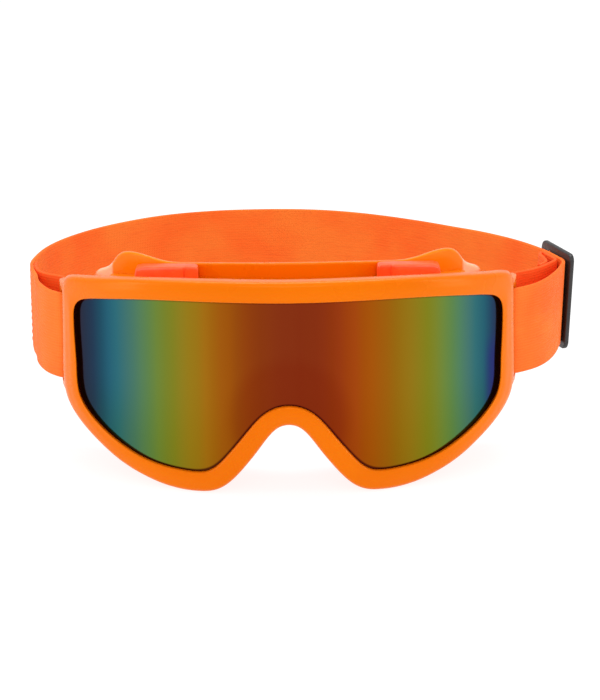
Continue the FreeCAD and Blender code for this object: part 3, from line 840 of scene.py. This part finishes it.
# ---------------------------------------------------------------- soft foam
def crowned_ring(name, outer_half, inner_half, marks, n, r0, depth_, inner_in=0.0, edge=3.2, swell=0.5, seed=0.0):
    po, pi = matched(outer_half, inner_half, marks, n)
    secs = []
    for i in range(n):
        R, O = po[i], pi[i]
        w = float(np.linalg.norm(R - O)); e = (R - O) / w
        s0, s1 = -inner_in, w
        r = min(edge, (s1 - s0) * 0.42)
        u = 2 * math.pi * i / n
        d_ = depth_ + 0.22 * math.sin(7 * u + seed) + 0.16 * math.sin(13 * u + 1.3 + seed)
        prof = [(s0 + 0.15, 0.0), (s0 - 0.05, d_ * 0.15), (s0 - swell * 0.6, d_ * 0.4), (s0 - swell * 0.4, d_ - r)]
        prof += [(p[0], p[1]) for p in arc_pts(s0 + r, d_ - r, r, 180, 90, 6)[1:]]
        prof += [(s0 + r + (s1 - s0 - 2 * r) * k / 4.0, d_ + 0.25 * math.sin(math.pi * k / 4.0)) for k in range(1, 4)]
        prof += [(p[0], p[1]) for p in arc_pts(s1 - r, d_ - r, r, 90, 0, 6)]
        prof += [(s1 + swell * 0.5, d_ * 0.4), (s1 + 0.05, d_ * 0.15), (s1 - 0.15, 0.0)]
        prof += [(s0 + (s1 - s0) * k / 4.0, 0.0) for k in (3, 2, 1)]
        row = []
        for s, d in prof:
            p = O + e * s
            row.append((float(p[0]), face_y(float(p[0]), r0) + d, float(p[1])))
        secs.append(row)
    v, f = ring_mesh(secs)
    return mesh_object(name, v, f, FOAM)


foam_ob = crowned_ring("face_cushion", FOAM_OUT, FACE_OPEN,
                       [(0, 0), (1.6, 1.2), (2.6, 2), (4, 3), (6.6, 4), (8.6, 5), (10, 6), (11.2, 7), (12.3, 8), (13.5, 9), (14.6, 10), (15.9, 11),
                        (17, 12), (18.2, 13), (20, 14), (21.3, 15), (22.2, 16), (23, 17), (24, 18), (25, 19)], 520,
                       FACE_R - FLANGE_T - 0.05, FOAM_T - 0.3, inner_in=0.4)
finish_piece(foam_ob, "goggles", "foam", "face_foam")

# thin foam behind the bottom vents, following the inside of the wall
strip_in = wall_in - outward(wall_in) * 0.15
strip_lo = wall_in - outward(wall_in) * 2.2
for s, nm in ((1, "right"), (-1, "left")):
    sel = [i for i in range(len(wall_in)) if 37.0 <= s * wall_in[i][0] <= 67.0 and wall_in[i][1] < 30]
    sel.sort(key=lambda i: wall_in[i][0])
    secs = []
    for q, i in enumerate(sel):
        a, b = strip_in[i], strip_lo[i]
        ya = [face_y(float(a[0]), 111.2) + 0.15, face_y(float(a[0]), 102.7)]
        ends = min(q, len(sel) - 1 - q)
        k = 0.25 if ends == 0 else (0.07 if ends == 1 else 0.0)
        row = []
        prof = [(0.0, 0.06), (0.0, 0.94), (0.15, 1.0), (0.85, 1.0), (1.0, 0.94), (1.0, 0.5), (1.0, 0.06), (0.85, 0.0), (0.15, 0.0)]
        for t, g in prof:
            t2, g2 = 0.5 + (t - 0.5) * (1 - k), 0.5 + (g - 0.5) * (1 - k * 0.3)
            p = a + (b - a) * t2
            row.append((float(p[0]), ya[0] + (ya[1] - ya[0]) * g2, float(p[1])))
        secs.append(row)
    v, f = ring_mesh(secs, close_u=False, cap=True)
    st = mesh_object("bottom_vent_strip_" + nm, v, f, FOAM)
    finish_piece(st, "goggles", "vent_foam", "bottom_vent_foam_" + nm)

# ---------------------------------------------------------------- vent pads
PAD_TOP = [(34.6, 83.1), (35.7, 84.2), (41, 83.8), (48, 83.05), (56.6, 81.9), (59.0, 80.9), (59.8, 79.4)]
wo_top = wall_out[wall_out[:, 1] > 60]
wo_top = wo_top[np.argsort(wo_top[:, 0])]
for s, nm in ((1, "right"), (-1, "left")):
    xs = np.concatenate([34.6 + 1.1 * (1 - np.cos(np.linspace(0, math.pi / 2, 7))), np.linspace(36.2, 40.1, 8), [40.25, 40.4, 40.55, 40.8],
                         np.linspace(41.4, 58.2, 30), 59.8 - 1.3 * (1 - np.sin(np.linspace(0.12, math.pi / 2, 8)))])
    xs = np.unique(np.round(xs, 4))
    secs = []
    for x in xs:
        t0, t1 = x - 34.6, 59.8 - x
        r_end = 1.1
        g0 = r_end - math.sqrt(max(r_end ** 2 - max(r_end - t0, 0) ** 2, 0))
        g1 = r_end - math.sqrt(max(r_end ** 2 - max(r_end - t1, 0) ** 2, 0))
        g = max(g0, g1)
        top = float(np.interp(x, [p[0] for p in PAD_TOP], [p[1] for p in PAD_TOP]))
        if x < 36.2:
            top = 84.05
        bot = float(np.interp(s * x, wo_top[:, 0], wo_top[:, 1])) + 0.05
        st_ = 1.0 / (1.0 + math.exp((x - 40.4) / 0.09))
        yf = face_y(x, FACE_R + PAD_T - 0.8 * st_) + g
        yr = face_y(x, FACE_R + 0.05) - min(g, 0.6)
        top -= min(g, 1.0) + 0.25 * st_ * 0
        top = max(top, bot + 0.8)
        r = min(1.0, (top - bot) * 0.4)
        prof = [(yf, bot)] + [(yf, bot + (top - r - bot) * k / 3.0) for k in (1, 2)]
        prof += [(a, b) for a, b in arc_pts(yf + r, top - r, r, 180, 90, 5)]
        prof += [(yf + r + (yr - yf - 2 * r) * k / 3.0, top + 0.12 * math.sin(math.pi * k / 3.0)) for k in (1, 2)]
        prof += [(a, b) for a, b in arc_pts(yr - r, top - r, r, 90, 0, 5)]
        prof += [(yr, bot + (top - r - bot) * k / 3.0) for k in (2, 1)] + [(yr, bot), ((yf + yr) / 2, bot)]
        secs.append([(s * x, y, z) for y, z in prof])
    v, f = ring_mesh(secs, close_u=False, cap=True)
    pad = mesh_object("vent_pad_" + nm, v, f, PAD, sharp=50)
    # plug that fills the vent under the pad
    secs = []
    for k in range(13):
        x = 39.15 + 16.7 * k / 12.0
        zb = float(np.interp(s * x, wo_top[:, 0], wo_top[:, 1]))
        y0, y1 = face_y(x, 105.05), face_y(x, 101.95)
        secs.append([(s * x, y0, zb - 2.0), (s * x, y1, zb - 2.0), (s * x, y1, zb + 0.6), (s * x, y0, zb + 0.6)])
    boolean(pad, manifold("plug_tmp", secs, close_u=False, cap=True), "UNION")
    tidy(pad, 45.0, PAD)
    finish_piece(pad, "goggles", "vent_pad", "top_vent_pad_" + nm)

# ---------------------------------------------------------------- webbing
LEFT_LOOP = [(104.75, 96.5), (103.9, 91), (102.6, 85), (101.4, 76), (99.9, 69), (97.6, 62.3), (94.9, 56.8),
             (92.0, 53.0), (90.0, 51.2), (88.5, 50.9), (87.35, 52.2), (87.1, 54.5), (87.6, 62), (88.2, 70),
             (88.75, 74.2), (90.2, 77.4), (92.5, 79.8), (95.8, 82.2), (99.2, 85.4), (101.4, 89.2),
             (102.7, 93.5), (103.5, 99.0), (103.9, 104)]
ARC = [(115.4 * math.cos(math.radians(p)), 70.0 + 115.4 * math.sin(math.radians(p))) for p in (52, 47, 42, 37, 32, 27, 22, 17, 14)]
BACK = ([(-104.85, 96.9), (-105.6, 104), (-104.9, 114), (-102.4, 128), (-98.6, 139.5), (-94.1, 149),
         (-89.2, 157.3), (-79.6, 170), (-70, 179.3), (-59.8, 187.2), (-49.5, 193), (-39, 197),
         (-28.5, 199.6), (-14, 201.1), (0, 201.0), (10, 199.8), (19.3, 197.4), (29.8, 193), (40.3, 186.8),
         (50.6, 179.2), (60.8, 170.4)] + ARC + [(110.9, 90.4), (109.6, 84.6)])
RIGHT_LOOP = [(108, 78.9), (104.1, 68.3), (100.3, 61.3), (96, 56.0), (92.6, 53.0), (90.3, 51.3),
              (88.6, 50.9), (87.35, 52.2), (87.1, 54.5), (87.6, 62), (88.1, 69.5), (88.6, 73.9), (90.0, 77.0),
              (92.4, 79.0), (95.5, 81.2), (98.9, 84.3), (101.6, 87.3)]
FOLD = [(103.9, 90.6), (105.7, 93.6), (108.0, 97.2), (109.1, 99.9), (108.8, 102.6), (107.8, 105.6),
        (106.9, 108.3), (106.0, 110.9), (105.1, 112.9), (104.2, 113.2), (103.55, 111.9), (103.4, 110.2), (103.7, 107.6),
        (104.2, 104.2), (104.7, 100.8), (104.9, 97.8), (104.1, 94.7), (102.5, 91.6), (101.6, 90.2)]
PATH = [(-x, y) for x, y in reversed(LEFT_LOOP[1:])] + [(-104.75, 96.6)] + BACK[1:] + RIGHT_LOOP + FOLD
web_f, _ = cubic(PATH, False)
_, _, LEN = even(web_f, 10, False, dense=20000)
NW = int(round(LEN / 0.75))
web_pts, _, _ = even(web_f, NW, False, dense=20000)
web_nrm = normals2(web_pts, closed=False)
web_s = np.linspace(0, LEN, NW)
print("webbing length", round(LEN, 1), "stations", NW)


def station(x, y, lo=0, hi=None):
    d = ((web_pts[lo:hi] - np.array([x, y])) ** 2).sum(1)
    return lo + int(np.argmin(d))


s_slider = web_s[station(108.5, 109.3, 400, station(100, 61))]
s_left = web_s[station(-104.7, 96, 60, 400)]


def lean(p):
    """Sideways lean of the webbing in plan, per mm of height: near the slider every layer leans out with it."""
    d = np.asarray(p, float) - np.array([0.0, 70.0])
    if d[0] < 15.0:
        return np.zeros(2)
    along = 115.4 * (math.atan2(d[1], d[0]) - math.radians(19.9))
    t = min(1.0, max(0.0, (float(p[1]) - 62.0) / 28.0))
    along = along / 34.0 if along < 0 else max(0.0, along - 68.0) / 24.0      # held over the stretch that the slider travels
    return 0.056 * math.exp(-along ** 2) * t * t * (3 - 2 * t) * d / np.linalg.norm(d)


def webbing(name, i0, i1, body=None, mat=WEBBING, taper0=False, taper1=False):
    half_t, nz = STRAP_T / 2, 22
    rows, uvs = [], []
    for i in range(i0, i1 + 1):
        p, nn, s = web_pts[i], web_nrm[i], web_s[i]
        row, ur = [], []
        prof = []
        r = 0.55
        for k in range(nz + 1):
            prof.append((half_t, Z0 + r + (Z1 - Z0 - 2 * r) * k / nz))
        prof += [(half_t * 0.72, Z1 - 0.16), (0.0, Z1), (-half_t * 0.72, Z1 - 0.16)]
        for k in range(nz, -1, -1):
            prof.append((-half_t, Z0 + r + (Z1 - Z0 - 2 * r) * k / nz))
        prof += [(-half_t * 0.72, Z0 + 0.16), (0.0, Z0), (half_t * 0.72, Z0 + 0.16)]
        k_l = lean(p)
        for h, z in prof:
            # elastic never hangs perfectly flat: a slow cup and ripple, the same on both faces
            q = (z - ZC) / 17.5
            calm = min(1.0, max(0.0, s - s_slider - 17.0, s_slider - 70.0 - s) / 20.0)
            bow = calm * (0.10 * math.sin(s / 23.0 + 1.1) * (q * q - 0.4) + 0.07 * math.sin(s / 9.0 + 2.3 * q))
            off_ = h + bow
            zz = z + 0.12 * math.sin(s / 31.0 + 0.7) * calm
            row.append((p[0] + nn[0] * off_ + k_l[0] * (z - ZC), p[1] + nn[1] * off_ + k_l[1] * (z - ZC), zz))
            ur.append((s / 1000.0, z / 1000.0))
        rows.append(row); uvs += ur
    v, f = ring_mesh(rows, close_u=False, cap=True)
    ob = mesh_object(name, v, f, mat, uv=uvs, sharp=60)
    return ob


i_exit = station(90.0, 77.0, station(100.3, 61.3, 400))
strap_main = webbing("strap_webbing", 0, i_exit)
finish_piece(strap_main, "strap", "webbing", "strap_back", "strap_loop_left", "strap_loop_right")
strap_ret = webbing("strap_return", i_exit, NW - 1)
tuple(W((90.3, 77.2, ZC))[0])
tuple(W((100.4, 86.6, ZC))[0])
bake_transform(strap_ret)
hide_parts("strap_end_fold")

# ---------------------------------------------------------------- slider
SL_PHI, SL_TILT, SL_R = math.radians(19.9), math.radians(17.3), 117.5
SL_LEN, SL_H, SL_T, SL_RAIL, SL_SLOT, SL_SLOT_H = 31.6, 40.0, 2.0, 4.5, 8.0, 35.6
sl_c = np.array([SL_R * math.cos(SL_PHI), 70.0 + SL_R * math.sin(SL_PHI)])
sl_u = np.array([-math.sin(SL_TILT), math.cos(SL_TILT)])
sl_n = np.array([math.cos(SL_TILT), math.sin(SL_TILT)])
SL_LEAN, SL_OUT = 0.060, 0.2


def sl_pt(a, h, z):
    """a along the webbing, h out from the head, z height."""
    o = h + SL_OUT + SL_LEAN * (z - ZC)
    q = sl_c + sl_u * a + sl_n * o
    return (float(q[0]), float(q[1]), z)


def rrect(cx_, cz_, w, h, r, n=6):
    pts = []
    for (sx, sz, a0) in ((1, 1, 0), (-1, 1, 90), (-1, -1, 180), (1, -1, 270)):
        for k in range(n + 1):
            a = math.radians(a0 + 90.0 * k / n)
            pts.append((cx_ + sx * (w / 2 - r) + r * math.cos(a), cz_ + sz * (h / 2 - r) + r * math.sin(a)))
    return pts


def slider_mesh():
    outer = rrect(0, ZC, SL_LEN, SL_H, 3.2, 8)
    holes = [rrect(c, ZC, SL_SLOT, SL_SLOT_H, 1.2, 5) for c in (-SL_LEN / 2 + SL_RAIL + SL_SLOT / 2, SL_LEN / 2 - SL_RAIL - SL_SLOT / 2)]
    coords, cons = [], []
    for L in [outer] + holes:
        b = len(coords)
        coords += [Vector(p) for p in L]
        cons.append([b + k for k in range(len(L))])
    faces_in = [cons[0]] + [c[::-1] for c in cons[1:]]
    res = delaunay_2d_cdt(coords, [], faces_in, 3, 1e-6)
    pts = [(v.x, v.y) for v in res[0]]
    tris = []
    for f in res[2]:
        c = np.mean([pts[i] for i in f], axis=0)
        if any(abs(c[0] - cc) < SL_SLOT / 2 and abs(c[1] - ZC) < SL_SLOT_H / 2 - 0.0 for cc in (-SL_LEN / 2 + SL_RAIL + SL_SLOT / 2, SL_LEN / 2 - SL_RAIL - SL_SLOT / 2)):
            inside = False
            for L in holes:
                if inside_poly(np.array([c]), np.array(L))[0]:
                    inside = True
            if inside:
                continue
        tris.append(list(f))
    bm = bmesh.new()
    vs = [bm.verts.new(Vector((p[0], 0.0, p[1]))) for p in pts]
    fs = [bm.faces.new([vs[i] for i in t]) for t in tris]
    bmesh.ops.dissolve_limit(bm, angle_limit=math.radians(1), verts=bm.verts, edges=[e for e in bm.edges if not e.is_boundary])
    ext = bmesh.ops.extrude_face_region(bm, geom=list(bm.faces))
    moved = [g for g in ext["geom"] if isinstance(g, bmesh.types.BMVert)]
    for v in moved:
        v.co.y = SL_T
    bmesh.ops.recalc_face_normals(bm, faces=bm.faces)
    edges = [e for e in bm.edges if len(e.link_faces) == 2 and e.calc_face_angle(0) > math.radians(60) and abs(e.verts[0].co.y - e.verts[1].co.y) < 1e-6]
    bmesh.ops.bevel(bm, geom=edges, offset=0.6, segments=4, profile=0.5, affect="EDGES", clamp_overlap=True)
    bmesh.ops.triangulate(bm, faces=[f for f in bm.faces if len(f.verts) > 4])
    for v in bm.verts:
        p = W(sl_pt(v.co.x, v.co.y - SL_T / 2, v.co.z))[0]
        v.co = Vector(tuple(p))
    bmesh.ops.recalc_face_normals(bm, faces=bm.faces)
    me = bpy.data.meshes.new("tri_glide_slider")
    bm.to_mesh(me); bm.free()
    ob = bpy.data.objects.new("tri_glide_slider", me)
    SC.collection.objects.link(ob)
    me.polygons.foreach_set("use_smooth", [True] * len(me.polygons))
    me.set_sharp_from_angle(angle=math.radians(35))
    me.materials.append(SLIDER)
    return ob


slider_ob = slider_mesh()
finish_piece(slider_ob, "slider", "slider", "slider")

# webbing over the centre bar, between the two slots
rows, uvs = [], []
bar = SL_LEN / 2 - SL_RAIL - SL_SLOT
curve = []
NBW = 40
for k in range(NBW + 1):
    a = (-1.0 + 2.0 * k / NBW) * (bar + 3.5)
    q = min(1.0, max(0.0, (abs(a) - bar - 0.5) / 3.0))
    curve.append((a, 1.82 - 2.35 * q * q * (3 - 2 * q) + 0.05 * math.sin(a)))
curve = np.array(curve)
cn = normals2(curve, closed=False)
cs = np.concatenate([[0], np.cumsum(np.linalg.norm(np.diff(curve, axis=0), axis=1))])
for k in range(NBW + 1):
    row = []
    prof = [(0.7, Z0 + 0.55 + (STRAP_T * 0 + 33.9) * j / 16) for j in range(17)] + [(0.45, Z1 - 0.16), (0.0, Z1), (-0.45, Z1 - 0.16)]
    prof += [(-0.7, Z0 + 0.55 + 33.9 * j / 16) for j in range(16, -1, -1)] + [(-0.45, Z0 + 0.16), (0.0, Z0), (0.45, Z0 + 0.16)]
    for h, z in prof:
        p = curve[k] + cn[k] * h
        row.append(sl_pt(float(p[0]), float(p[1]), z))
        uvs.append(((cs[k] + 700) / 1000.0, z / 1000.0))
    rows.append(row)
v, f = ring_mesh(rows, close_u=False, cap=True)
wrap_ob = mesh_object("strap_over_bar", v, f, WEBBING, uv=uvs, sharp=60)
finish_piece(wrap_ob, "slider", "webbing", "strap_bar_wrap")


# ---------------------------------------------------------------- stitching
def stitch_rows(name, stations_, body, node, z_step=2.9, long=2.0):
    verts, faces = [], []
    nseg, nr = 8, 8
    for i, side in stations_:
        p, nn, s = web_pts[i], web_nrm[i], web_s[i]
        z = Z0 + 2.2
        while z + long < Z1 - 1.6:
            b = len(verts)
            for k in range(nseg + 1):
                t = k / nseg
                arch = math.sin(math.pi * t)
                rad = 0.20 * (0.35 + 0.65 * min(1.0, 4 * t, 4 * (1 - t)))
                zc_ = z + long * t
                off_ = side * (STRAP_T / 2 - 0.13 + 0.09 * arch)
                base_ = p + lean(p) * (zc_ - ZC)
                tv = np.array([nn[1], -nn[0]])
                for j in range(nr):
                    a = 2 * math.pi * j / nr
                    q = base_ + nn * (off_ + rad * math.cos(a)) + tv * (rad * 1.15 * math.sin(a))
                    verts.append((q[0], q[1], zc_))
            for k in range(nseg):
                for j in range(nr):
                    j2 = (j + 1) % nr
                    faces.append((b + k * nr + j, b + k * nr + j2, b + (k + 1) * nr + j2, b + (k + 1) * nr + j))
            faces.append(tuple(b + j for j in range(nr - 1, -1, -1)))
            faces.append(tuple(b + nseg * nr + j for j in range(nr)))
            z += z_step
    ob = mesh_object(name, verts, faces, THREAD)
    return finish_piece(ob, body, "thread", node)


def at(s_mm):
    return int(np.clip(round(s_mm / LEN * (NW - 1)), 0, NW - 1))


i_lo = station(-104.7, 96.5, 60, 400)
i_li = station(-102.9, 95.0, 0, 40)
stitch_rows("stitching_left", [(at(web_s[i_lo] + d), sd) for d in (-1.5, 4.5) for sd in (1,)]
            + [(at(web_s[i_li] - d), 1) for d in (-1.5, 4.5)], "strap", "strap_stitching_left")
i_rt = NW - 1
stitch_rows("stitching_right", [(at(LEN - d), -1) for d in (1.6, 5.6)], "slider", "strap_stitching_right")

# ---------------------------------------------------------------- stage
fl = bpy.data.meshes.new("studio_floor")
bm = bmesh.new()
bmesh.ops.create_grid(bm, x_segments=2, y_segments=2, size=14.0)
bm.to_mesh(fl); bm.free()
floor = bpy.data.objects.new("studio_floor", fl)
floor.location = (0, 0, -0.0003)
SC.collection.objects.link(floor)
k = Mat("studio_floor_white")
k.set(Roughness=0.9, Specular_IOR_Level=0.0, Emission_Strength=0.86)
k.b.inputs["Base Color"].default_value = (0.22, 0.22, 0.22, 1)
k.b.inputs["Emission Color"].default_value = (1, 1, 1, 1)
fl.materials.append(k.m)

world = bpy.data.worlds.new("studio")
world.use_nodes = True
SC.world = world
bg = world.node_tree.nodes["Background"]
bg.inputs[0].default_value = (1, 1, 1, 1)
bg.inputs[1].default_value = 0.72


def area(name, loc, to, size, power, color=(1, 1, 1)):
    d = bpy.data.lights.new(name, "AREA")
    d.shape = "RECTANGLE"
    d.size, d.size_y = size
    d.energy = power
    d.color = color
    o = bpy.data.objects.new(name, d)
    SC.collection.objects.link(o)
    o.location = loc
    v = Vector(to) - Vector(loc)
    o.rotation_euler = v.to_track_quat("-Z", "Y").to_euler()
    return o


area("key_top", (0.0, 0.25, 1.1), (0, -0.03, 0.05), (0.9, 0.35), 6.5)
area("fill_front", (0.0, -1.3, 0.9), (0, 0, 0.05), (0.9, 0.5), 4.2)
area("side_left", (-1.0, -0.35, 0.35), (0, 0, 0.05), (0.25, 0.7), 2.2)
area("side_right", (1.0, -0.35, 0.35), (0, 0, 0.05), (0.25, 0.7), 2.2)
